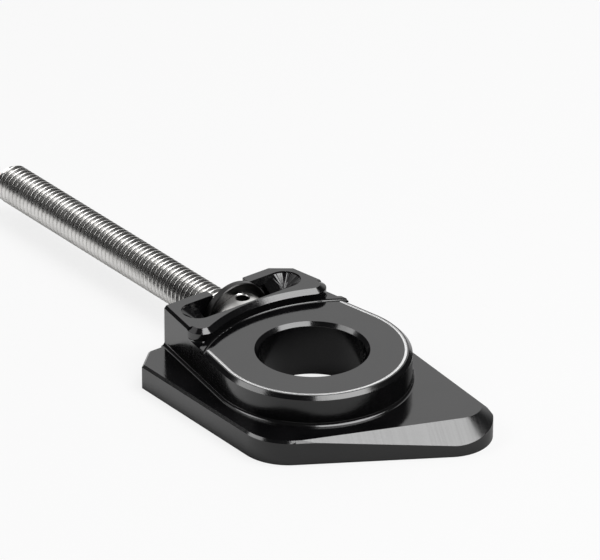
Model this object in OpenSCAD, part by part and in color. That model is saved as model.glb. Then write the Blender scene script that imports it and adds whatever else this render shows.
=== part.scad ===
// Chain adjuster for a motorbike's rear wheel. A block sits on the wheel axle and is drawn along
// the swingarm by a long stud, which is turned at its capstan head with a short bar.
// The origin is on the axle's axis at the block's lower face. +X points to the plate's tip, the
// stud points to -X, and +Z is up, out of the boss.

/* [Axle bore] */
// Diameter of the wheel axle
axle_d = 20; // [18:0.5:21]
// Gap all round between the axle and its bore
axle_gap = 0.3; // [0.1:0.05:0.5]
// Chamfer at the mouth of the bore
bore_chamfer = 0.7; // [0.3:0.1:1]

/* [Plate] */
// Thickness of the plate
plate_t = 5; // [4.5:0.25:5.5]
// Width across the two long sides
plate_w = 45.6; // [44.4:0.2:47]
// Distance from the axle's axis to the flat back end
plate_back = 27.4; // [27:0.1:28.4]
// Length that a cut back corner takes off the long side
corner_run = 3.9; // [2:0.1:5]
// Length that a cut back corner takes off the back end
corner_rise = 4.5; // [2:0.1:6]
// Radius of the front corner beside the slanted end
front_corner_r = 10; // [8:0.5:12]
// Angle of the slanted end from the long sides
slant_angle = 58.1; // [56:0.1:61]
// Distance from the axle's axis to the slanted end
slant_offset = 24.5; // [23.5:0.1:26]
// Radius of the tip
tip_r = 8.6; // [8:0.1:9]
// How far in front of the axle's axis the centre of the tip's radius lies
tip_x = 26.1; // [25:0.1:28]
// Angle at which the far side runs in towards the tip
taper_angle = 5.6; // [4.5:0.1:7]
// How far behind the axle's axis the far side starts to run in
taper_back = 7.4; // [4:0.2:10]
// Chamfer round the plate's top edge
plate_chamfer = 0.45; // [0.2:0.05:0.7]

/* [Tip bevel] */
// Slope of the broad bevel at the tip
bevel_slope = 26; // [20:1:30]
// Direction of the bevel's upper line from the long sides
bevel_angle = 68; // [66:0.5:70]
// Distance from the axle's axis to the bevel's upper line
bevel_offset = 22.9; // [21.5:0.1:23.4]
// Radius of the upper line where it turns round to the far side
bevel_r = 5.1; // [3:0.1:6]

/* [Boss] */
// Radius of the round wall
boss_r = 19; // [18:0.1:19.5]
// Height of the boss above the plate
boss_h = 6.1; // [5.5:0.1:7]
// Angle at which the flanks run in towards the back end
flank_angle = 10; // [8:0.5:12]
// Chamfer round the top
boss_chamfer = 0.7; // [0.3:0.1:1]
// How far behind the axle's axis the chamfer ends
chamfer_reach = 12.5; // [10:0.5:13]
// Radius of the fillet at the foot of the wall
root_r = 0.8; // [0.4:0.1:1.2]
// Distance in from the wall to the middle of the engraved line
line_inset = 1.25; // [1.2:0.05:2]
// Width of the engraved line
line_w = 0.4; // [0.2:0.05:0.6]
// Depth of the engraved line
line_depth = 0.15; // [0.05:0.05:0.3]
// How far behind the axle's axis the engraved line ends
line_reach = 11.65; // [9:0.05:12.5]

/* [Head block] */
// Height of the head block above the boss
head_h = 2.3; // [2:0.1:3]
// Radius of the hollow front wall
hollow_r = 28.5; // [26:0.5:32]
// Thickness of the front wall in the middle
front_wall = 1.6; // [1.4:0.1:2]
// Radius of the two horns
horn_r = 3; // [2:0.1:3.5]
// Radius of the fillet where the front and the horns meet the boss
front_root_r = 0.35; // [0.2:0.05:0.5]
// Width of the chamfer along the front
front_chamfer_w = 1.2; // [0.8:0.1:1.3]
// Height of the chamfer along the front
front_chamfer_h = 0.7; // [0.4:0.1:1]
// Chamfer along the two sides
side_chamfer = 0.5; // [0.2:0.1:0.7]
// Length that the far back corner takes off the side
far_corner_run = 3.4; // [1:0.1:4]
// Length that the far back corner takes off the back end
far_corner_rise = 3.7; // [1:0.1:4]

/* [Pocket and bar channels] */
// Thickness of the wall behind the pocket
back_wall = 2.1; // [1.8:0.1:2.5]
// Gap between the washer and each end of the through pocket
pocket_end_gap = 0.55; // [0.3:0.05:0.8]
// Diameter of the bar that turns the head
bar_d = 2.5; // [2:0.1:2.8]
// Angle at which the bar channels rise to the sides
bar_angle = 30; // [28:1:32]
// Included angle of the channels' V-shaped bottom, and of the drill point that ends them
vee_angle = 120; // [110:5:130]
// Distance from the stud's axis out to the drill point
channel_reach = 10.4; // [9.5:0.1:10.8]

/* [Stud] */
// Outer diameter of the stud's thread
stud_d = 8; // [7:0.5:8.5]
// Length of the stud
stud_length = 79.5; // [50:0.5:120]
// Height of the stud's axis above the lower face
stud_z = 6.8; // [6.6:0.1:7.2]
// Chamfer at the stud's free end
stud_chamfer = 0.9; // [0.3:0.1:1.2]
// Gap all round between the stud and the open slot
stud_gap = 0.4; // [0.2:0.1:0.6]
// Depth of the waist where the stud crosses the open slot
waist_depth = 0.75; // [0.5:0.05:0.8]

/* [Capstan head] */
// Outer diameter of the head
head_d = 12.4; // [11.5:0.1:12.8]
// Length of the head
head_length = 5.4; // [5:0.1:6]
// Chamfer of the head's rims
head_chamfer = 0.35; // [0.1:0.05:0.6]
// Number of holes for the bar
bar_holes = 6; // [4:1:8]
// Gap all round between the bar and its hole
bar_gap = 0.05; // [0.05:0.05:0.15]
// Chamfer at the mouth of each hole
bar_hole_chamfer = 0.3; // [0.1:0.05:0.4]

/* [Washer] */
// Outer diameter of the washer
washer_d = 14.9; // [14:0.1:15]
// Thickness of the washer
washer_t = 0.8; // [0.5:0.1:1]
// Gap all round between the stud and the washer's hole
washer_gap = 0.75; // [0.7:0.05:0.8]

/* [Hidden] */
$fn = 96;

// Gap between faces that lie against each other without being joined
slip = 0.05;
// Gap in front of the head
head_front_gap = 0.2;
// How far a cutting shape runs past the face that it opens
overrun = 1;
// A rounding stands this much proud of the flats beside it, and a fillet bites this much into
// the faces beside it, so that they cross cleanly where they would only touch
bite = 0.005;
root_bite = 0.01;
// Chamfers that meet at a corner differ by this much
chamfer_step = 0.02;
// Turn about its own axis of a round cut, which keeps its seam off the edges that it crosses
seam_turn = 45;

bore_r = axle_d / 2 + axle_gap;
half_w = plate_w / 2;
boss_top = plate_t + boss_h;
head_top = boss_top + head_h;

// Places along the screw, from the back wall forward
pocket_back_x = back_wall - plate_back;
washer_back_x = pocket_back_x + slip;
head_back_x = washer_back_x + washer_t + slip;
head_front_x = head_back_x + head_length;
pocket_front_x = head_front_x + head_front_gap;
pocket_w = pocket_front_x - pocket_back_x;
pocket_x = (pocket_front_x + pocket_back_x) / 2;
stud_r = stud_d / 2;
washer_r = washer_d / 2;
// The washer stands loose on its rim, a hair above the lower face
washer_z = washer_r + slip;

// Outline of the plate: the normals of its slanted sides, then the corners
function flip(p) = [p.x, -p.y];
slant_normal = [sin(slant_angle), -cos(slant_angle)];
taper_normal = [sin(taper_angle), cos(taper_angle)];
front_corner_y = front_corner_r - half_w;
front_corner = [
    (slant_offset - front_corner_r - front_corner_y * slant_normal.y) / slant_normal.x,
    front_corner_y
];
tip = [tip_x, (slant_offset - tip_r - tip_x * slant_normal.x) / slant_normal.y];
taper_start = [-taper_back, half_w];
slant_start = front_corner + front_corner_r * slant_normal;
slant_end = tip + tip_r * slant_normal;
// The near side with its back corner, which runs on past the back end until that is trimmed
near_back = [-plate_back - corner_run, 2 * corner_rise - half_w];
near_corner = [corner_run - plate_back, -half_w];
near_end = [front_corner.x, -half_w];

// The bevel's upper line runs straight to bevel_end, then turns about bevel_centre
bevel_normal = [sin(bevel_angle), -cos(bevel_angle)];
far_offset = taper_start * taper_normal - bevel_r;
near_offset = bevel_offset - bevel_r;
bevel_cross = bevel_normal.x * taper_normal.y - bevel_normal.y * taper_normal.x;
bevel_centre = [
    near_offset * taper_normal.y - far_offset * bevel_normal.y,
    far_offset * bevel_normal.x - near_offset * taper_normal.x
] / bevel_cross;
bevel_turn = 180 - taper_angle - bevel_angle;
// The bevel is cut as long and as wide as the plate
bevel_span = plate_w;

// Flanks of the boss: a line's distance from the axis, and its half width at the back end
function half_width_at(r, back) = (r - back * sin(flank_angle)) / cos(flank_angle);
function flank_run(r, back) = (back - r * sin(flank_angle)) / cos(flank_angle);
flank_normal = [-sin(flank_angle), -cos(flank_angle)];
flank_along = [-cos(flank_angle), sin(flank_angle)];
// The flanks run on past the back end too
block_end = plate_back + overrun;

// Horns of the head block, round between the flank and the hollow front
hollow_x = pocket_front_x + front_wall + hollow_r;
horn_side = boss_r - horn_r;
horn_run = sqrt((hollow_r + horn_r) ^ 2 - (horn_side + hollow_x * sin(flank_angle)) ^ 2)
    - hollow_x * cos(flank_angle);
horn = horn_side * flank_normal + horn_run * flank_along;
horn_front_normal = [hollow_x - horn.x, -horn.y] / (hollow_r + horn_r);
horn_flank = horn + horn_r * flank_normal;
block_back = [-block_end, -half_width_at(boss_r, block_end)];

// Bar channels: their bottom line passes under the bar, whose axis meets the stud's axis
pocket_reach = washer_r + pocket_end_gap;
vee_h = pocket_w / 2 / tan(vee_angle / 2);
// Width of the wedge that cuts a channel, as a share of twice the pocket's
wedge_share = 1.5;
bar_seat = bar_d / 2 / sin(vee_angle / 2) / cos(bar_angle);
channel_z = stud_z + channel_reach * tan(bar_angle) - bar_seat;

// Section that takes a chamfer off an edge: the solid's corner lies at the origin, its side
// faces +X and its top faces +Y
module chamfer_section(width, height = undef) {
    h = is_undef(height) ? width : height;
    k = overrun / h;
    polygon([[width * k, -h - h * k], [width * k, h * k], [-width - width * k, h * k]]);
}

// Cuts a chamfer off the straight edge that runs from p to q, with the solid on its left
module straight_chamfer(p, q, top, width) {
    run = q - p;
    translate([q.x, q.y, top])
        rotate([90, 0, atan2(run.y, run.x) - 90])
            translate([0, 0, -overrun])
                linear_extrude(norm(run) + 2 * overrun) chamfer_section(width);
}

// Round corner with a chamfered top
module round_corner(centre, r, top, chamfer) {
    proud_r = r + bite;
    translate([centre.x, centre.y, 0]) cylinder(r = proud_r, h = top - chamfer);
    translate([centre.x, centre.y, top - chamfer])
        cylinder(r1 = proud_r, r2 = proud_r - chamfer, h = chamfer);
}

// The plate's flat sides with their chamfers
module plate_flats() {
    side_step = plate_chamfer + chamfer_step;
    difference() {
        linear_extrude(plate_t)
            polygon([
                near_back, near_corner, near_end, front_corner, slant_start, slant_end, tip,
                [tip.x, half_w], flip(near_corner), flip(near_back)
            ]);
        straight_chamfer(near_back, near_corner, plate_t, plate_chamfer);
        straight_chamfer(near_corner, near_end, plate_t, side_step);
        straight_chamfer(slant_start, slant_end, plate_t, plate_chamfer);
        straight_chamfer([tip.x, half_w], flip(near_corner), plate_t, side_step);
        straight_chamfer(flip(near_corner), flip(near_back), plate_t, plate_chamfer);
        straight_chamfer([-plate_back, half_w], [-plate_back, -half_w], plate_t, side_step);
    }
}

// Takes the far side in towards the tip, with its chamfer
module far_side_cut() {
    translate([taper_start.x, taper_start.y, 0])
        rotate([90, 0, 90 - taper_angle])
            translate([0, 0, -overrun])
                linear_extrude(plate_w + plate_back) {
                    translate([0, plate_t]) chamfer_section(plate_chamfer);
                    translate([0, -overrun]) square([plate_w, plate_t + 2 * overrun]);
                }
}

module plate() {
    difference() {
        union() {
            plate_flats();
            round_corner(front_corner, front_corner_r, plate_t, plate_chamfer);
            round_corner(tip, tip_r, plate_t, plate_chamfer);
        }
        far_side_cut();
        tip_bevel_cut();
    }
}

// Broad bevel: a sloping flat up to the turn, then part of a cone
module tip_bevel_cut() {
    lift = overrun * tan(bevel_slope);
    translate([bevel_centre.x, bevel_centre.y, plate_t])
        rotate([0, 0, bevel_angle - 90]) {
            translate([bevel_r, 0, 0])
                rotate([0, bevel_slope, 0])
                    translate([-overrun, -bevel_span, 0])
                        cube([bevel_span, bevel_span, bevel_span / 2]);
            rotate_extrude(angle = bevel_turn)
                polygon([
                    [bevel_r - overrun, lift], [bevel_r + bevel_span / 2, lift],
                    [bevel_r + bevel_span / 2, -bevel_span / 2 * tan(bevel_slope)]
                ]);
        }
}

// The flanks of a round wall of radius r about the axle, from one height to another
module flanks(r, low, top) {
    start = r * flank_normal;
    back = [-block_end, -half_width_at(r, block_end)];
    translate([0, 0, low])
        linear_extrude(top - low) polygon([[0, 0], flip(start), flip(back), back, start]);
}

// A round wall with its flanks
module boss_body(r, low, top) {
    translate([0, 0, low]) cylinder(r = r + bite, h = top - low);
    flanks(r, low, top);
}

// Section of a fillet of radius r in the corner between a floor and a wall that faces +X
module fillet_section(r) {
    reach = r - root_bite;
    difference() {
        translate([-overrun, -overrun]) square([overrun + reach, overrun + reach]);
        translate([reach, reach]) circle(r);
    }
}

// Fillet at the foot of the boss, round the wall and along both flanks
module boss_root() {
    rotate_extrude() translate([boss_r + bite, plate_t]) fillet_section(root_r);
    for (side = [0, 1])
        mirror([0, side, 0])
            rotate([90, 0, -90 - flank_angle])
                linear_extrude(flank_run(boss_r, block_end))
                    translate([boss_r, plate_t]) fillet_section(root_r);
}

// Chamfer round the boss, which ends short of the head block: all that lies outside a cone
// and outside the chamfered flanks
module boss_chamfer_cut() {
    wide_r = boss_r + boss_chamfer;
    low = boss_top - 2 * boss_chamfer;
    flank_start = boss_r * flank_normal;
    difference() {
        translate([-chamfer_reach, -plate_w, low])
            cube([chamfer_reach + plate_w, 2 * plate_w, 3 * boss_chamfer]);
        translate([0, 0, low])
            cylinder(r1 = wide_r + bite, r2 = wide_r + bite - 4 * boss_chamfer,
                h = 4 * boss_chamfer);
        difference() {
            flanks(wide_r, low - overrun, low + 4 * boss_chamfer);
            straight_chamfer(block_back, flank_start, boss_top, boss_chamfer);
            straight_chamfer(flip(flank_start), flip(block_back), boss_top, boss_chamfer);
        }
    }
}

// Thin engraved line a little way in from the wall
module engraved_line_cut() {
    line_r = boss_r - line_inset;
    low = boss_top - line_depth;
    intersection() {
        difference() {
            boss_body(line_r + line_w / 2, low, boss_top + overrun);
            boss_body(line_r - line_w / 2, low - overrun, boss_top + 2 * overrun);
        }
        translate([-line_reach, -half_w, low - overrun])
            cube([line_reach + half_w, plate_w, line_depth + 3 * overrun]);
    }
}

// One horn, round and with a chamfered top
module horn_body() {
    proud_r = horn_r + bite;
    translate([horn.x, horn.y, boss_top - overrun])
        cylinder(r = proud_r, h = head_h - front_chamfer_h + overrun);
    translate([horn.x, horn.y, head_top - front_chamfer_h])
        cylinder(r1 = proud_r, r2 = proud_r - 2 * front_chamfer_w, h = 2 * front_chamfer_h);
}

// Clears the space above the boss in front of the head block: a hollow front with a chamfer,
// and beside it the corners that leave the round horns
module front_cut() {
    translate([hollow_x, 0, boss_top]) cylinder(r = hollow_r, h = head_h + overrun);
    translate([hollow_x, 0, head_top - front_chamfer_h])
        cylinder(r1 = hollow_r, r2 = hollow_r + 2 * front_chamfer_w, h = 2 * front_chamfer_h);
    for (side = [0, 1])
        mirror([0, side, 0])
            difference() {
                translate([0, 0, boss_top])
                    linear_extrude(head_h + overrun)
                        polygon([
                            horn, horn + boss_r * flank_normal,
                            horn + boss_r * (flank_normal + horn_front_normal),
                            horn + boss_r * horn_front_normal
                        ]);
                horn_body();
            }
}

// Small fillet where the hollow front and the horns meet the top of the boss
module front_root() {
    intersection() {
        union() {
            translate([hollow_x, 0, boss_top])
                rotate_extrude()
                    translate([hollow_r, 0]) mirror([1, 0]) fillet_section(front_root_r);
            for (side = [0, 1])
                mirror([0, side, 0])
                    translate([horn.x, horn.y, boss_top])
                        rotate_extrude()
                            translate([horn_r + bite, 0]) fillet_section(front_root_r);
        }
        boss_body(boss_r, boss_top - front_root_r, boss_top + front_root_r);
    }
}

// Chamfers along the two sides of the head block
module side_chamfer_cuts() {
    straight_chamfer(block_back, horn_flank, head_top, side_chamfer);
    straight_chamfer(flip(horn_flank), flip(block_back), head_top, side_chamfer);
}

// Cuts the far back corner off the boss and the head block
module far_corner_cut() {
    inner = [-plate_back, half_width_at(boss_r, plate_back) - far_corner_rise];
    outer = [far_corner_run - plate_back, half_width_at(boss_r, plate_back - far_corner_run)];
    run = outer - inner;
    translate([inner.x, inner.y, plate_t])
        rotate([0, 0, atan2(run.y, run.x)])
            translate([-overrun, 0, 0])
                cube([norm(run) + 2 * overrun, half_w, head_top]);
}

// What stays under the bar channel on the +Y side: a V-shaped floor that rises outwards and
// ends in the seat of a drill point
module channel_floor() {
    vee = wedge_share * [pocket_w, 2 * vee_h * cos(bar_angle)];
    difference() {
        difference() {
            translate([pocket_x - pocket_w, pocket_reach, -2 * overrun])
                cube([2 * pocket_w, channel_reach, head_top + 3 * overrun]);
            translate([pocket_x, channel_reach, channel_z])
                intersection() {
                    rotate([bar_angle, 0, 0])
                        translate([0, pocket_w, 0])
                            rotate([90, 0, 0])
                                linear_extrude(3 * pocket_w)
                                    polygon([
                                        [0, 0], vee, [vee.x, 2 * pocket_w],
                                        [-vee.x, 2 * pocket_w], [-vee.x, vee.y]
                                    ]);
                    translate([-2 * pocket_w, -2 * pocket_w, -pocket_w])
                        cube([4 * pocket_w, 2 * pocket_w, 3 * pocket_w]);
                }
        }
        translate([pocket_x, channel_reach, channel_z - root_bite])
            rotate(seam_turn) cylinder(r1 = 0, r2 = pocket_w, h = 2 * vee_h);
    }
}

// Pocket with round ends, right through the block except over the two channel floors
module pocket_cut() {
    difference() {
        union() {
            translate([pocket_back_x, -channel_reach, -overrun])
                cube([pocket_w, 2 * channel_reach, head_top + 2 * overrun]);
            for (side = [-1, 1])
                translate([pocket_x, side * channel_reach, -overrun])
                    rotate(seam_turn)
                        cylinder(r = pocket_w / 2 + bite, h = head_top + 2 * overrun);
        }
        for (side = [0, 1]) mirror([0, side, 0]) channel_floor();
    }
}

// Open slot that the stud lies in: round below, straight and open above
module stud_slot_cut() {
    slot_r = stud_r + stud_gap;
    slot_length = back_wall + 2 * overrun;
    translate([-plate_back - overrun, 0, stud_z]) {
        rotate([0, 90, 0]) cylinder(r = slot_r, h = slot_length);
        translate([0, -slot_r, 0]) cube([slot_length, 2 * slot_r, head_top]);
    }
}

module axle_bore_cut() {
    translate([0, 0, -overrun]) cylinder(r = bore_r, h = boss_top + 2 * overrun);
    translate([0, 0, boss_top - bore_chamfer])
        cylinder(r1 = bore_r, r2 = bore_r + 2 * bore_chamfer, h = 2 * bore_chamfer);
}

module adjuster_block() {
    color("#2b2b2e")
        difference() {
            union() {
                plate();
                difference() {
                    boss_body(boss_r, plate_t / 2, head_top);
                    front_cut();
                    boss_chamfer_cut();
                    engraved_line_cut();
                    side_chamfer_cuts();
                }
                boss_root();
                front_root();
            }
            far_corner_cut();
            // Trims all flush at the back end
            translate([-plate_back - plate_w, -plate_w, -overrun])
                cube([plate_w, 2 * plate_w, head_top + 2 * overrun]);
            pocket_cut();
            stud_slot_cut();
            axle_bore_cut();
        }
}

// Places a shape drawn on the Z axis on the stud's axis, running back from the given X
module on_screw(x) {
    translate([x, 0, stud_z]) rotate([0, -90, 0]) children();
}

module washer() {
    color("#4a4a4d")
        translate([washer_back_x, 0, washer_z])
            rotate([0, 90, 0])
                difference() {
                    cylinder(r = washer_r, h = washer_t);
                    translate([0, 0, -overrun])
                        cylinder(r = stud_r + washer_gap, h = washer_t + 2 * overrun);
                }
}

module capstan_head() {
    head_r = head_d / 2;
    hole_r = bar_d / 2 + bar_gap;
    color("silver")
        on_screw(head_front_x)
            difference() {
                rotate_extrude()
                    polygon([
                        [stud_r, 0], [head_r - head_chamfer, 0], [head_r, head_chamfer],
                        [head_r, head_length - head_chamfer],
                        [head_r - head_chamfer, head_length], [stud_r, head_length]
                    ]);
                for (hole = [0 : bar_holes - 1])
                    rotate([0, 0, hole * 360 / bar_holes])
                        translate([0, 0, head_length / 2])
                            rotate([0, 90, 0])
                                rotate(seam_turn) {
                                    cylinder(r = hole_r, h = head_r + overrun);
                                    translate([0, 0, head_r - bar_hole_chamfer])
                                        cylinder(
                                            r1 = hole_r, r2 = hole_r + 2 * bar_hole_chamfer,
                                            h = 2 * bar_hole_chamfer
                                        );
                                }
            }
}

module stud() {
    waist_r = stud_r - waist_depth;
    waist_start = head_front_x - pocket_back_x;
    waist_end = head_front_x + plate_back + 2 * slip;
    color("lightgray")
        on_screw(head_front_x)
            rotate_extrude()
                polygon([
                    [0, 0], [stud_r, 0], [stud_r, waist_start], [waist_r, waist_start],
                    [waist_r, waist_end], [stud_r, waist_end],
                    [stud_r, stud_length - stud_chamfer],
                    [stud_r - stud_chamfer, stud_length], [0, stud_length]
                ]);
}

adjuster_block();
washer();
capstan_head();
stud();
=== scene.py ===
import math

import bmesh
import bpy
from mathutils import Matrix, Vector


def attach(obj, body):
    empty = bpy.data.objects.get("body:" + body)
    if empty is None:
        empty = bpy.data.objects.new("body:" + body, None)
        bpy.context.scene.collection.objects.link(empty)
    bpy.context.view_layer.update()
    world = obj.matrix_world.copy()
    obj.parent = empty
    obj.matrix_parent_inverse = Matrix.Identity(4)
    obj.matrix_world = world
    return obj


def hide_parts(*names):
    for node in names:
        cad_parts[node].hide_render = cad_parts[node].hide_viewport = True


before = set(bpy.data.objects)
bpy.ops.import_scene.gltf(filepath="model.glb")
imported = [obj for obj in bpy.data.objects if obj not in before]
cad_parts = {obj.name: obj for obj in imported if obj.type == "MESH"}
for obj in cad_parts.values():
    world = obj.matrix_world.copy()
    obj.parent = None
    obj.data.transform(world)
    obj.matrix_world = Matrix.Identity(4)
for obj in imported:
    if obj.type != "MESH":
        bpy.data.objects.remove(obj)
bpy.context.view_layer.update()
print("frame loaded:", ", ".join(sorted(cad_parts)))

mm = 0.001
screwAxis = Vector((0, 0, 6.8 * mm))  # a point of the stud's axis, which runs along X


# Small helpers for node trees

def put(tree, kind, inputs=None, **settings):
    node = tree.nodes.new(kind)
    for name, value in settings.items():
        setattr(node, name, value)
    for key, value in (inputs or {}).items():
        if isinstance(value, bpy.types.NodeSocket):
            tree.links.new(value, node.inputs[key])
        else:
            node.inputs[key].default_value = value
    return node


def calc(tree, operation, *values):
    return put(tree, "ShaderNodeMath", dict(enumerate(values)), operation=operation).outputs[0]


def vectorCalc(tree, operation, *values):
    node = put(tree, "ShaderNodeVectorMath", dict(enumerate(values)), operation=operation)
    return node.outputs["Value" if operation in ("DOT_PRODUCT", "LENGTH") else "Vector"]


def times(tree, *values):
    product = values[0]
    for value in values[1:]:
        product = calc(tree, "MULTIPLY", product, value)
    return product


def within(tree, value, low, high):
    return times(tree, calc(tree, "GREATER_THAN", value, low), calc(tree, "LESS_THAN", value, high))


def distance(tree, x, y):
    return calc(tree, "SQRT", calc(tree, "ADD", times(tree, x, x), times(tree, y, y)))


def ramp(tree, value, low, high, toLow=0.0, toHigh=1.0, smooth=True):
    # value from low to high becomes toLow to toHigh, and stays there outside
    kind = "SMOOTHSTEP" if smooth else "LINEAR"
    return put(tree, "ShaderNodeMapRange", {
        "Value": value, "From Min": low, "From Max": high, "To Min": toLow, "To Max": toHigh,
    }, interpolation_type=kind).outputs["Result"]


def blendColors(tree, mask, first, second):
    node = put(tree, "ShaderNodeMix", {"Factor": mask}, data_type="RGBA")
    rgba = [s for s in node.inputs if s.type == "RGBA"]
    for socket, value in zip(rgba, (first, second)):
        if isinstance(value, bpy.types.NodeSocket):
            tree.links.new(value, socket)
        else:
            socket.default_value = (*value, 1)
    return [s for s in node.outputs if s.type == "RGBA"][0]


def blendValues(tree, mask, first, second):
    return put(tree, "ShaderNodeMix", {"Factor": mask, "A": first, "B": second}).outputs[0]


def newMaterial(name):
    material = bpy.data.materials.new(name)
    material.use_nodes = True
    tree = material.node_tree
    tree.nodes.clear()
    shader = put(tree, "ShaderNodeBsdfPrincipled")
    put(tree, "ShaderNodeOutputMaterial", {"Surface": shader.outputs[0]})
    return material, tree, shader


def newGroup(name, inputs, outputs):
    tree = bpy.data.node_groups.new(name, "ShaderNodeTree")
    for socket, kind, value in inputs:
        made = tree.interface.new_socket(name=socket, in_out="INPUT", socket_type=kind)
        if value is not None:
            made.default_value = value
    for socket, kind in outputs:
        tree.interface.new_socket(name=socket, in_out="OUTPUT", socket_type=kind)
    return tree, tree.nodes.new("NodeGroupInput").outputs, tree.nodes.new("NodeGroupOutput")


def useGroup(tree, group, inputs):
    return put(tree, "ShaderNodeGroup", inputs, node_tree=group).outputs


# Shared effects

effects = {
    "contrast": (0.3, 0.7),          # noise between these becomes 0 to 1
    "markDetail": 3.0,
    "markRoughness": 0.6,
    "cloudContrast": (0.35, 0.65),
    "cloudDetail": 4.0,
    "speckCells": (0.9, 0.92),       # only cells with a random value above these hold a speck
    "speckSize": (0.05, 0.02),       # share of the cells' spacing at which it starts, and is full
    "ringDetail": 2.0,
}


def makeStreaks():
    # fine parallel marks: close together in the direction Across, and long at right angles to it
    tree, given, out = newGroup("streaks", [
        ("Vector", "NodeSocketVector", None), ("Across", "NodeSocketVector", (1, 0, 0)),
        ("Per Millimetre", "NodeSocketFloat", 4.0), ("Length Share", "NodeSocketFloat", 0.04),
    ], [("Marks", "NodeSocketFloat")])
    along = vectorCalc(tree, "SCALE", given["Vector"])
    scaleNode = along.node
    tree.links.new(calc(tree, "MULTIPLY", given["Length Share"], 1 / mm), scaleNode.inputs["Scale"])
    dense = vectorCalc(tree, "DOT_PRODUCT", given["Vector"], given["Across"])
    dense = calc(tree, "MULTIPLY", dense, 1 / mm)
    dense = calc(tree, "MULTIPLY", dense, given["Per Millimetre"])
    shift = vectorCalc(tree, "SCALE", given["Across"])
    tree.links.new(dense, shift.node.inputs["Scale"])
    place = vectorCalc(tree, "ADD", along, shift)
    noise = put(tree, "ShaderNodeTexNoise", {
        "Vector": place, "Scale": 1.0,
        "Detail": effects["markDetail"], "Roughness": effects["markRoughness"],
    })
    tree.links.new(ramp(tree, noise.outputs[0], *effects["contrast"]), out.inputs["Marks"])
    return tree


def makeSpeckle():
    # faint clouds and a few dust specks
    tree, given, out = newGroup("speckle", [
        ("Vector", "NodeSocketVector", None), ("Cloud Size", "NodeSocketFloat", 6 * mm),
        ("Speck Spacing", "NodeSocketFloat", 1.6 * mm),
    ], [("Clouds", "NodeSocketFloat"), ("Specks", "NodeSocketFloat")])
    clouds = put(tree, "ShaderNodeTexNoise", {
        "Vector": given["Vector"], "Scale": calc(tree, "DIVIDE", 1.0, given["Cloud Size"]),
        "Detail": effects["cloudDetail"],
    })
    tree.links.new(ramp(tree, clouds.outputs[0], *effects["cloudContrast"]), out.inputs["Clouds"])
    cells = put(tree, "ShaderNodeTexVoronoi", {
        "Vector": given["Vector"], "Scale": calc(tree, "DIVIDE", 1.0, given["Speck Spacing"]),
    })
    few = put(tree, "ShaderNodeSeparateColor", {"Color": cells.outputs["Color"]})
    chosen = ramp(tree, few.outputs[0], *effects["speckCells"])
    spot = ramp(tree, cells.outputs["Distance"], *effects["speckSize"])
    tree.links.new(calc(tree, "MULTIPLY", chosen, spot), out.inputs["Specks"])
    return tree


def makeTurned():
    # rings left by turning: noise that changes only along the stud's axis and away from it
    tree, given, out = newGroup("turned", [
        ("Vector", "NodeSocketVector", None), ("Ring Width", "NodeSocketFloat", 0.12 * mm),
    ], [("Rings", "NodeSocketFloat"), ("Radius", "NodeSocketFloat")])
    shifted = vectorCalc(tree, "SUBTRACT", given["Vector"], tuple(screwAxis))
    parts = put(tree, "ShaderNodeSeparateXYZ", {"Vector": shifted})
    flat = put(tree, "ShaderNodeCombineXYZ", {"Y": parts.outputs["Y"], "Z": parts.outputs["Z"]})
    radius = vectorCalc(tree, "LENGTH", flat.outputs[0])
    tree.links.new(radius, out.inputs["Radius"])
    place = put(tree, "ShaderNodeCombineXYZ", {"X": parts.outputs["X"], "Y": radius})
    noise = put(tree, "ShaderNodeTexNoise", {
        "Vector": place.outputs[0], "Scale": calc(tree, "DIVIDE", 1.0, given["Ring Width"]),
        "Detail": effects["ringDetail"],
    })
    tree.links.new(ramp(tree, noise.outputs[0], *effects["contrast"]), out.inputs["Rings"])
    return tree


streaks, speckle, turned = makeStreaks(), makeSpeckle(), makeTurned()


# Black anodised block, with its bright engraved line

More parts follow.
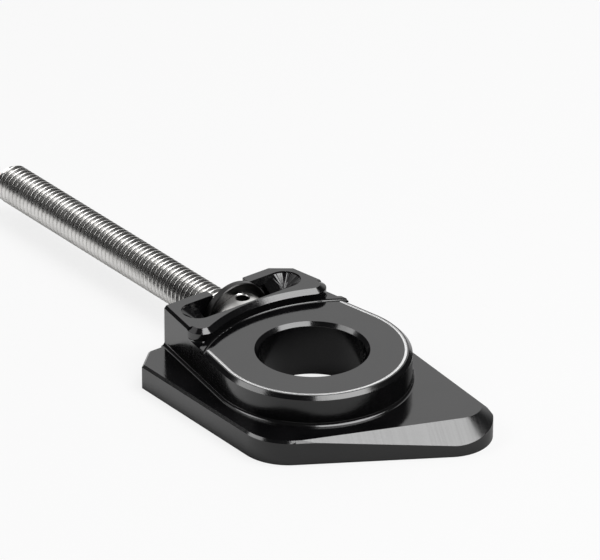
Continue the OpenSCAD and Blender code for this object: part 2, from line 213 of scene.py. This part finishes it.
anodised = {
    "darkest": (0.0026, 0.0026, 0.0030),
    "palest": (0.0050, 0.0048, 0.0054),
    "dust": (0.035, 0.035, 0.035),
    # roughness between the tool marks and on them: flat tops, walls, and the broad bevel
    "topRoughness": (0.08, 0.12),
    "wallRoughness": (0.15, 0.20),
    "bevelRoughness": (0.14, 0.21),
    "gloss": 1.85,                   # index of refraction
    "bevelGloss": 1.95,
    "boreGloss": 1.35,
    "boreWall": (10.4 * mm, 10.3 * mm),  # radius and height that hold the bore's wall
    "flatFrom": (0.6, 0.8),          # upward part of the normal, between walls and flat tops
    # tool marks: direction across them, marks per millimetre, and their change along it
    "wallMarks": ((0.62, 0.79, 0.0), 3.0, 0.05),
    "topMarks": ((0.26, 0.966, 0.0), 5.0, 0.06),
    "bevelMarks": (3.5, 0.03),       # across the bevel's heading
    "markDepth": 0.004 * mm,
    "markStrength": 0.5,
    "markShares": (0.3, 1.0, 0.6),   # of that depth: walls, flat tops and the bevel
    "bevelSlope": 26,                # degrees
    "bevelSlack": (0.03, 0.02),      # how far the normal may be off it, at none and at all
    "bevelBelow": 0.01 * mm,         # least distance below the plate's top
    "bevelHeading": 68,              # degrees, of the bevel's upper line
    "plateTop": 5 * mm,
    "seatAt": (-22.05 * mm, 10.4 * mm),  # axis of each drill point seat
    "seatReach": (3.3 * mm, 8.5 * mm),   # radius, and lowest height
    "seatSlope": (0.3, 0.95),        # upward part of its normal, lowest and highest
    "ridgeDensity": 3.2,             # per radian
    "ridgeDetail": 2.0,
    "ridges": (5.0, 26.0),           # their depth, as a share of markDepth: near and far seat
    "ridgeChange": (0.0, 1 * mm),    # from near to far between these Y
    "bossTop": 11.1 * mm,
    "lineRadius": 17.75 * mm,
    "lineWidth": 0.4 * mm,
    "lineDepth": 0.15 * mm,
    "lineEdge": 0.04 * mm,           # bare edge beside it
    "lineEnd": -11.65 * mm,
    "lineBehind": 0.3 * mm,          # how far past that end its walls may still be bare
    "lineBelow": 0.02 * mm,          # and how far below its floor
    "lineSlack": 0.004 * mm,         # heights closer than this are the same
    "lineRoughness": 0.35,
    "lineMetallic": 0.35,
    "flankAngle": 10,                # degrees
    "bareMetal": (0.95, 0.95, 0.95),
}


def makeAnodised():
    a = anodised
    material, tree, shader = newMaterial("blackAnodised")
    spot = put(tree, "ShaderNodeTexCoord")
    place, normal = spot.outputs["Object"], spot.outputs["Normal"]
    parts = put(tree, "ShaderNodeSeparateXYZ", {"Vector": place}).outputs
    facing = put(tree, "ShaderNodeSeparateXYZ", {"Vector": normal}).outputs

    # the broad bevel is found by its slope, below the plate's top
    slope = math.cos(math.radians(a["bevelSlope"]))
    off = calc(tree, "ABSOLUTE", calc(tree, "SUBTRACT", facing["Z"], slope))
    onBevel = times(tree, ramp(tree, off, *a["bevelSlack"]),
                    calc(tree, "LESS_THAN", parts["Z"], a["plateTop"] - a["bevelBelow"]))

    def toolMarks(across, perMillimetre, lengthShare):
        return useGroup(tree, streaks, {
            "Vector": place, "Across": across,
            "Per Millimetre": perMillimetre, "Length Share": lengthShare})[0]

    heading = math.radians(a["bevelHeading"])
    wallMarks, topMarks = toolMarks(*a["wallMarks"]), toolMarks(*a["topMarks"])
    bevelMarks = toolMarks((math.cos(heading), math.sin(heading), 0.0), *a["bevelMarks"])
    up = ramp(tree, calc(tree, "ABSOLUTE", facing["Z"]), *a["flatFrom"])
    marks = blendValues(tree, up, wallMarks, topMarks)
    marks = blendValues(tree, onBevel, marks, bevelMarks)

    # the drill left radial ridges in its seats at the ends of the bar channels
    seatX, seatY = a["seatAt"]
    side = calc(tree, "ABSOLUTE", parts["Y"])
    fromX = calc(tree, "SUBTRACT", parts["X"], seatX)
    fromY = calc(tree, "SUBTRACT", side, seatY)
    seatTurn = calc(tree, "ARCTAN2", fromY, fromX)
    reach, lowest = a["seatReach"]
    inSeat = times(tree, calc(tree, "LESS_THAN", distance(tree, fromX, fromY), reach),
                   calc(tree, "GREATER_THAN", parts["Z"], lowest),
                   within(tree, facing["Z"], *a["seatSlope"]))
    ridges = put(tree, "ShaderNodeTexNoise", {
        "W": seatTurn, "Scale": a["ridgeDensity"], "Detail": a["ridgeDetail"],
    }, noise_dimensions="1D")
    seatMarks = times(tree, ramp(tree, ridges.outputs[0], *effects["contrast"]),
                      ramp(tree, parts["Y"], *a["ridgeChange"], *a["ridges"]))

    dirt = useGroup(tree, speckle, {"Vector": place})
    color = blendColors(tree, dirt["Clouds"], a["darkest"], a["palest"])
    color = blendColors(tree, dirt["Specks"], color, a["dust"])

    # the engraved line follows the boss: round in front, straight along the flanks
    flank = math.radians(a["flankAngle"])
    outward = calc(tree, "ADD", calc(tree, "MULTIPLY", parts["X"], -math.sin(flank)),
                   calc(tree, "MULTIPLY", side, math.cos(flank)))
    forward = calc(tree, "ADD", calc(tree, "MULTIPLY", parts["X"], -math.cos(flank)),
                   calc(tree, "MULTIPLY", side, -math.sin(flank)))
    forward = calc(tree, "MINIMUM", forward, 0.0)
    aside = calc(tree, "SUBTRACT", distance(tree, outward, forward), a["lineRadius"])
    inLine = calc(tree, "LESS_THAN", calc(tree, "ABSOLUTE", aside), a["lineWidth"] / 2 + a["lineEdge"])
    below = calc(tree, "LESS_THAN", parts["Z"], a["bossTop"] - a["lineSlack"])
    atTop = times(tree, calc(tree, "GREATER_THAN", parts["X"], a["lineEnd"]),
                  calc(tree, "LESS_THAN", parts["Z"], a["bossTop"] + a["lineSlack"]))
    lineFloor = a["bossTop"] - a["lineDepth"] - a["lineBelow"]
    inLine = times(tree, inLine, calc(tree, "MAXIMUM", below, atTop),
                   calc(tree, "GREATER_THAN", parts["Z"], lineFloor),
                   calc(tree, "GREATER_THAN", parts["X"], a["lineEnd"] - a["lineBehind"]))
    color = blendColors(tree, inLine, color, a["bareMetal"])

    rough = [ramp(tree, marks, 0, 1, *a[part], smooth=False)
             for part in ("wallRoughness", "topRoughness", "bevelRoughness")]
    rough = blendValues(tree, onBevel, blendValues(tree, up, rough[0], rough[1]), rough[2])
    rough = blendValues(tree, inLine, rough, a["lineRoughness"])

    radius, height = a["boreWall"]
    inBore = times(tree, calc(tree, "LESS_THAN", distance(tree, parts["X"], parts["Y"]), radius),
                   calc(tree, "LESS_THAN", parts["Z"], height))
    gloss = blendValues(tree, onBevel, a["gloss"], a["bevelGloss"])
    gloss = blendValues(tree, inBore, gloss, a["boreGloss"])

    onWalls, onTops, onSlope = a["markShares"]
    relief = blendValues(tree, onBevel, ramp(tree, up, 0, 1, onWalls, onTops), onSlope)
    relief = blendValues(tree, inSeat, times(tree, marks, relief), seatMarks)
    bump = put(tree, "ShaderNodeBump", {
        "Height": relief, "Strength": a["markStrength"], "Distance": a["markDepth"]})

    tree.links.new(color, shader.inputs["Base Color"])
    tree.links.new(rough, shader.inputs["Roughness"])
    tree.links.new(times(tree, inLine, a["lineMetallic"]), shader.inputs["Metallic"])
    tree.links.new(bump.outputs[0], shader.inputs["Normal"])
    tree.links.new(gloss, shader.inputs["IOR"])
    return material


# Turned steel: the washer, the capstan head and the stud

steels = {
    "darkWasher": {"dark": (0.055, 0.054, 0.054), "pale": (0.085, 0.084, 0.083),
                   "roughness": (0.30, 0.36), "ring": 0.20 * mm, "depth": 0.001 * mm},
    "polishedHead": {"dark": (0.86, 0.85, 0.83), "pale": (0.95, 0.94, 0.92),
                     "roughness": (0.28, 0.34), "ring": 0.12 * mm, "depth": 0.0008 * mm,
                     # painted shade inside the bar's holes: radius and X that bound it, soft edge, and
                     # the painted shade's colour
                     "bores": (6.15 * mm, -24.3 * mm, -18.9 * mm), "boreEdge": 0.25 * mm,
                     "holeShadeColor": (0.05, 0.048, 0.046), "boreRoughness": 0.5},
    # on the stud, dark is mostly the painted shade of its thread roots, and pale that of its crests
    "studSteel": {"dark": (0.17, 0.164, 0.157), "pale": (0.90, 0.89, 0.87),
                  "roughness": (0.22, 0.26), "ring": 0.30 * mm, "depth": 0.0003 * mm,
                  # painted shade darkens the thread's roots between these radii, by this share, but
                  # not on its flat end
                  "rootShadeRadii": (3.25 * mm, 3.74 * mm), "rootShadeShare": 0.8, "endSlack": 0.01 * mm},
}
turning = {"cloudSize": 2.5 * mm, "cloudShare": 0.5, "strength": 0.5}  # the same on all of them


def makeSteel(name, flatEnd=None):
    s = steels[name]
    material, tree, shader = newMaterial(name)
    place = put(tree, "ShaderNodeTexCoord").outputs["Object"]
    rings = useGroup(tree, turned, {"Vector": place, "Ring Width": s["ring"]})
    clouds = useGroup(tree, speckle, {"Vector": place, "Cloud Size": turning["cloudSize"]})["Clouds"]
    tone = blendValues(tree, turning["cloudShare"], rings["Rings"], clouds)
    along = put(tree, "ShaderNodeSeparateXYZ", {"Vector": place}).outputs["X"]
    # painted shade: the thread's roots turn towards dark, while the crests and the flat end stay pale
    if "rootShadeRadii" in s:
        crest = calc(tree, "MAXIMUM", ramp(tree, rings["Radius"], *s["rootShadeRadii"]),
                     calc(tree, "LESS_THAN", along, flatEnd + s["endSlack"]))
        tone = blendValues(tree, s["rootShadeShare"], tone, crest)
    color = blendColors(tree, tone, s["dark"], s["pale"])
    rough = ramp(tree, rings["Rings"], 0, 1, *s["roughness"], smooth=False)
    # painted shade: inside the head's holes the colour turns near black
    if "bores" in s:
        radius, back, front = s["bores"]
        paintedHoleShade = times(tree, ramp(tree, rings["Radius"], radius, radius - s["boreEdge"]),
                        within(tree, along, back, front))
        color = blendColors(tree, paintedHoleShade, color, s["holeShadeColor"])
        rough = blendValues(tree, paintedHoleShade, rough, s["boreRoughness"])
    bump = put(tree, "ShaderNodeBump", {
        "Height": rings["Rings"], "Strength": turning["strength"], "Distance": s["depth"]})
    tree.links.new(color, shader.inputs["Base Color"])
    tree.links.new(rough, shader.inputs["Roughness"])
    tree.links.new(bump.outputs[0], shader.inputs["Normal"])
    shader.inputs["Metallic"].default_value = 1.0
    return material


def dress(node, material):
    node.data.materials.clear()
    node.data.materials.append(material)


def makePiece(shape, name, sharpAngle):
    bmesh.ops.recalc_face_normals(shape, faces=shape.faces)
    mesh = bpy.data.meshes.new(name)
    shape.to_mesh(mesh)
    shape.free()
    mesh.shade_smooth()
    mesh.set_sharp_from_angle(angle=math.radians(sharpAngle))
    piece = bpy.data.objects.new(name, mesh)
    bpy.context.scene.collection.objects.link(piece)
    return piece


dress(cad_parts["adjuster_block"], makeAnodised())
dress(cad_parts["capstan_head"], makeSteel("polishedHead"))
print("materials made")


# The stud with its rolled thread

stud = {
    "crest": 4.0 * mm,
    "root": 3.24 * mm,
    "pitch": 1.25 * mm,
    "backEnd": -98.5 * mm,
    "headEnd": -19.0 * mm,
    "chamfer": 0.9 * mm,
    "spareTurns": 1.3,               # made past the back end, and cut away
    "stepsPerTurn": 72,
    "weld": 0.002 * mm,              # points closer than this become one
    "sharpAngle": 40,                # degrees
    # half a thread, from the root's middle to the crest's: share of the pitch, and of the depth
    "halfThread": ((0.0, 0.0), (0.07, 0.02), (0.125, 0.12), (0.39, 0.88), (0.44, 0.98), (0.5, 1.0)),
}


def makeStud():
    s = stud
    depth = s["crest"] - s["root"]
    start = s["backEnd"] - s["spareTurns"] * s["pitch"]
    half = [(share * s["pitch"], s["root"] + part * depth) for share, part in s["halfThread"]]
    thread = half + [(s["pitch"] - x, r) for x, r in reversed(half[:-1])]
    shape = bmesh.new()
    corners = [shape.verts.new((start + x, 0, screwAxis.z + r)) for x, r in thread]
    edges = [shape.edges.new(pair) for pair in zip(corners, corners[1:])]
    bmesh.ops.spin(shape, geom=corners + edges, cent=screwAxis, axis=(1, 0, 0),
                   dvec=(s["pitch"] / s["stepsPerTurn"], 0, 0), angle=math.tau,
                   steps=s["stepsPerTurn"])
    turns = 1
    while start + turns * s["pitch"] < s["headEnd"]:  # the turns made so far are doubled
        copy = bmesh.ops.duplicate(shape, geom=shape.verts[:] + shape.edges[:] + shape.faces[:])
        bmesh.ops.translate(shape, vec=(turns * s["pitch"], 0, 0),
                            verts=[v for v in copy["geom"] if isinstance(v, bmesh.types.BMVert)])
        turns *= 2
    bmesh.ops.remove_doubles(shape, verts=shape.verts, dist=s["weld"])
    for x, side in ((s["backEnd"], -1), (s["headEnd"], 1)):
        cut = bmesh.ops.bisect_plane(shape, geom=shape.verts[:] + shape.edges[:] + shape.faces[:],
                                     plane_co=(x, 0, 0), plane_no=(side, 0, 0), clear_outer=True)
        rim = [e for e in cut["geom_cut"] if isinstance(e, bmesh.types.BMEdge)]
        bmesh.ops.edgeloop_fill(shape, edges=rim)
    for v in shape.verts:  # the free end's chamfer
        most = s["crest"] - s["chamfer"] + max(0, v.co.x - s["backEnd"])
        away = Vector((0, v.co.y, v.co.z - screwAxis.z))
        if away.length > most:
            v.co -= away * (1 - most / away.length)
    return makePiece(shape, "threadedStud", s["sharpAngle"])


threadedStud = makeStud()
dress(threadedStud, makeSteel("studSteel", flatEnd=stud["backEnd"]))
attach(threadedStud, "screw")
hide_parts("stud")
print("stud made:", len(threadedStud.data.polygons), "faces")


# The thrust washer, standing on its rim behind the head

washer = {
    "back": -24.85 * mm,
    "front": -23.25 * mm,
    "radius": 7.45 * mm,
    "centre": 7.5 * mm,
    "hole": 6.24 * mm,
    "chamfer": 0.18 * mm,
    "steps": 128,
    "sharpAngle": 30,                # degrees
}


def makeWasher():
    w = washer
    shape = bmesh.new()
    outer, inner = (w["radius"], w["centre"]), (w["hole"], screwAxis.z)
    section = [(w["back"], -1, inner), (w["back"], -1, outer), (w["back"] + w["chamfer"], 0, outer),
               (w["front"] - w["chamfer"], 0, outer), (w["front"], -1, outer), (w["front"], 0, inner)]
    rings = []
    for x, inward, (radius, height) in section:
        if radius == w["radius"]:
            radius += inward * w["chamfer"]
        turns = [step * math.tau / w["steps"] for step in range(w["steps"])]
        rings.append([shape.verts.new((x, radius * math.sin(turn), height + radius * math.cos(turn)))
                      for turn in turns])
    for ring, following in zip(rings, rings[1:] + rings[:1]):
        for step in range(w["steps"]):
            after = (step + 1) % w["steps"]
            shape.faces.new((ring[step], ring[after], following[after], following[step]))
    return makePiece(shape, "thrustWasher", w["sharpAngle"])


thrustWasher = makeWasher()
dress(thrustWasher, makeSteel("darkWasher"))
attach(thrustWasher, "root")
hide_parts("washer")
print("washer made:", len(thrustWasher.data.polygons), "faces")


# Studio: white floor with a painted shade to its right, surround, two soft boxes, and the camera

studio = {
    "floorSize": 6.0,                 # metres
    "floorColorAndShade": ((0.90, 0.90, 0.90), (0.42, 0.42, 0.42)),  # to the left, and a painted shade to the right, which only reflections and bounced light see
    "floorTurn": (-0.018, 0.022),     # between these X
    "floorRoughness": 0.9,
    "shadowShare": 0.20,              # how much of the floor's own shade the camera sees
    "surround": (0.80, 0.035),        # behind the object, and elsewhere
    "surroundToward": (-0.694, 0.545, 0.47),
    "surroundEdge": (0.80, 0.93),
    "aside": 0.60,                    # a small part of it, up to the left
    "asideToward": (-0.55, -0.30, 0.78),
    "asideEdge": (0.935, 0.96),
    "boxes": (
        # place, facing, turn in degrees, width, height, brightness
        ((0.427, 0.293, 0.95), (0, 0, 1), 51.7, 0.88, 0.84, 4.5),
        ((-0.38, -0.54, 0.665), (-0.40, -0.57, 0.70), 0, 0.40, 0.40, 2.4),
    ),
}
cameraPlace = {
    "azimuth": 51.855, "elevation": 28.015, "roll": 0.202,  # degrees
    "distance": 1.1427, "right": -0.002386, "up": 0.022804,
    "lens": 360.6,
    "clip": (0.05, 20),
}


def makeFloor():
    shape = bmesh.new()
    bmesh.ops.create_grid(shape, x_segments=2, y_segments=2, size=studio["floorSize"] / 2)
    mesh = bpy.data.meshes.new("floor")
    shape.to_mesh(mesh)
    shape.free()
    floor = bpy.data.objects.new("floor", mesh)
    bpy.context.scene.collection.objects.link(floor)
    material, tree, shader = newMaterial("paleFloor")
    parts = put(tree, "ShaderNodeSeparateXYZ", {
        "Vector": put(tree, "ShaderNodeTexCoord").outputs["Object"]}).outputs
    left, right = studio["floorColorAndShade"]
    rays = put(tree, "ShaderNodeLightPath")
    # painted shade: to the right the floor is darker, for every ray but the camera's
    paintedShadeToRight = ramp(tree, parts["X"], *studio["floorTurn"])
    paintedShadeToRight = times(tree, paintedShadeToRight, calc(tree, "SUBTRACT", 1.0, rays.outputs["Is Camera Ray"]))
    tree.links.new(blendColors(tree, paintedShadeToRight, left, right), shader.inputs["Base Color"])
    shader.inputs["Roughness"].default_value = studio["floorRoughness"]
    white = put(tree, "ShaderNodeEmission", {"Color": (1, 1, 1, 1), "Strength": 1.0})
    share = calc(tree, "MULTIPLY", rays.outputs["Is Camera Ray"], 1 - studio["shadowShare"])
    mixed = put(tree, "ShaderNodeMixShader", {0: share, 1: shader.outputs[0], 2: white.outputs[0]})
    output = next(n for n in tree.nodes if n.type == "OUTPUT_MATERIAL")
    tree.links.new(mixed.outputs[0], output.inputs["Surface"])
    dress(floor, material)


def makeSurround():
    world = bpy.data.worlds.new("surround")
    world.use_nodes = True
    tree = world.node_tree
    tree.nodes.clear()
    direction = put(tree, "ShaderNodeTexCoord").outputs["Generated"]
    toward = Vector(studio["surroundToward"]).normalized()
    near = vectorCalc(tree, "DOT_PRODUCT", direction, tuple(toward))
    bright, dim = studio["surround"]
    strength = ramp(tree, near, *studio["surroundEdge"], dim, bright)
    toward = Vector(studio["asideToward"]).normalized()
    near = vectorCalc(tree, "DOT_PRODUCT", direction, tuple(toward))
    patch = ramp(tree, near, *studio["asideEdge"], 0.0, studio["aside"])
    strength = calc(tree, "MAXIMUM", strength, patch)
    rays = put(tree, "ShaderNodeLightPath")
    strength = blendValues(tree, rays.outputs["Is Camera Ray"], strength, 1.0)
    shine = put(tree, "ShaderNodeBackground", {"Color": (1, 1, 1, 1), "Strength": strength})
    put(tree, "ShaderNodeOutputWorld", {"Surface": shine.outputs[0]})
    bpy.context.scene.world = world


def makeSoftBox(index, place, facing, turn, width, height, brightness):
    light = bpy.data.lights.new(f"softBox{index}", "AREA")
    light.shape = "RECTANGLE"
    light.size, light.size_y = width, height
    light.energy = brightness * math.pi * width * height
    holder = bpy.data.objects.new(light.name, light)
    bpy.context.scene.collection.objects.link(holder)
    holder.matrix_world = (Matrix.Translation(place)
                           @ Vector(facing).to_track_quat("Z", "Y").to_matrix().to_4x4()
                           @ Matrix.Rotation(math.radians(turn), 4, "Z"))
    holder.visible_camera = False


def makeCamera():
    c = cameraPlace
    turn = (Matrix.Rotation(math.radians(c["azimuth"]), 4, "Z")
            @ Matrix.Rotation(math.radians(90 - c["elevation"]), 4, "X"))
    lens = bpy.data.cameras.new("photoCamera")
    lens.lens = c["lens"]
    lens.clip_start, lens.clip_end = c["clip"]
    camera = bpy.data.objects.new("photoCamera", lens)
    bpy.context.scene.collection.objects.link(camera)
    camera.matrix_world = (turn @ Matrix.Translation((c["right"], c["up"], c["distance"]))
                           @ Matrix.Rotation(math.radians(c["roll"]), 4, "Z"))
    bpy.context.scene.camera = camera


makeFloor()
makeSurround()
for index, box in enumerate(studio["boxes"]):
    makeSoftBox(index, *box)
makeCamera()
bpy.context.scene.view_settings.view_transform = "Standard"
print("studio made")
